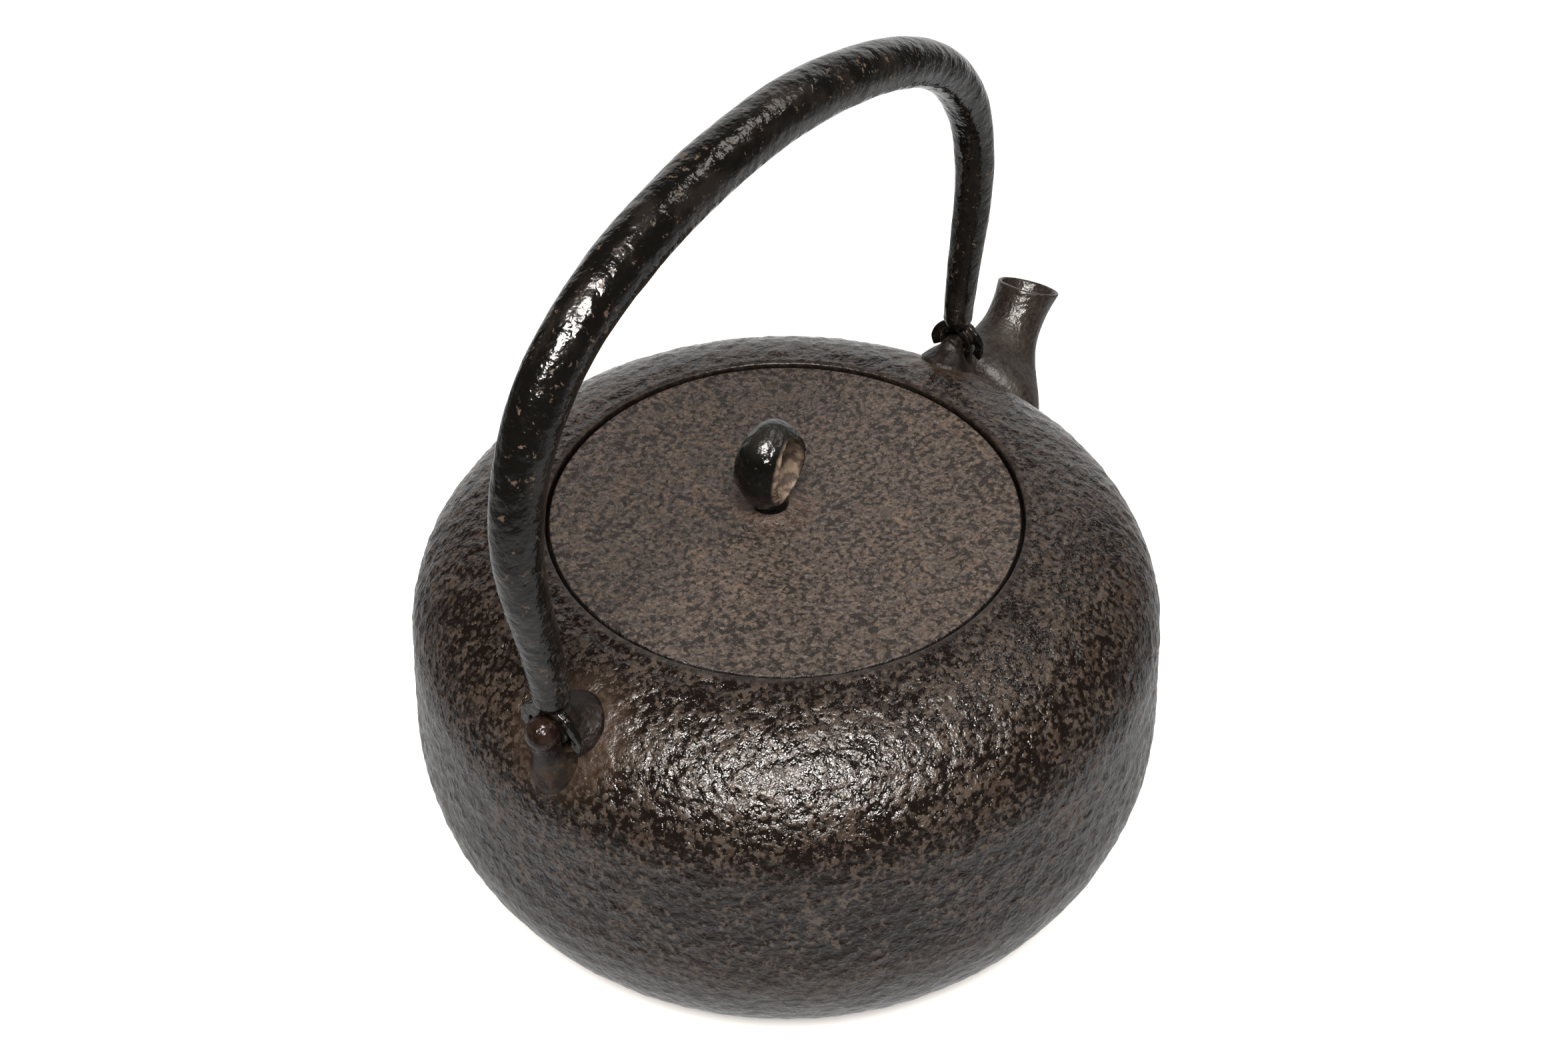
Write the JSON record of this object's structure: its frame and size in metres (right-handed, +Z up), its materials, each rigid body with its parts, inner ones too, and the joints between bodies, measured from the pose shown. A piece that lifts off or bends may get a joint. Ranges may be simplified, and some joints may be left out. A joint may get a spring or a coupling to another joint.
{
  "type": "cast iron kettle",
  "caption": "Round, low cast iron tea kettle with a flush lift-off lid, a looped knob, an upswept spout and a hollow bail handle that folds to either side.",
  "frame": {"origin": "centre of the flat base, on the surface the kettle stands on", "axes": "+Z up, +X towards the spout, the handle hinges about X"},
  "size_m": [0.2176, 0.18, 0.1885],
  "materials": {
    "cast_body": "pebbly cast skin with thin dark lacquer, satin with small glossy highlights",
    "cast_lid": "finer, flatter cast skin, matt, mottled taupe brown",
    "smooth_spout": "smooth satin, dark grey brown",
    "lugs": "glossy dark red brown",
    "knob": "glossy black lacquer, rust brown inside the loop",
    "forged_handle": "forged, near black, satin with worn glossy ridges"
  },
  "bodies": {
    "kettle": {"kettle_body": "cast_body", "spout": "smooth_spout", "front_lug": "lugs", "rear_lug": "lugs"},
    "lid": {"lid": "cast_lid", "knob": "knob", "knob_washer": "knob"},
    "handle": {"handle_shell": "forged_handle", "front_hook": "forged_handle", "rear_hook": "forged_handle"}
  },
  "joints": [
    {"name": "lid_lift", "type": "slide", "parent": "kettle", "child": "lid", "axis": [0, 0, 1], "range_m": [0, 0.045]},
    {"name": "handle_fold", "type": "hinge", "parent": "kettle", "child": "handle", "pos_m": [0, 0, 0.089], "axis": [1, 0, 0], "range_deg": [-100, 100]}
  ]
}
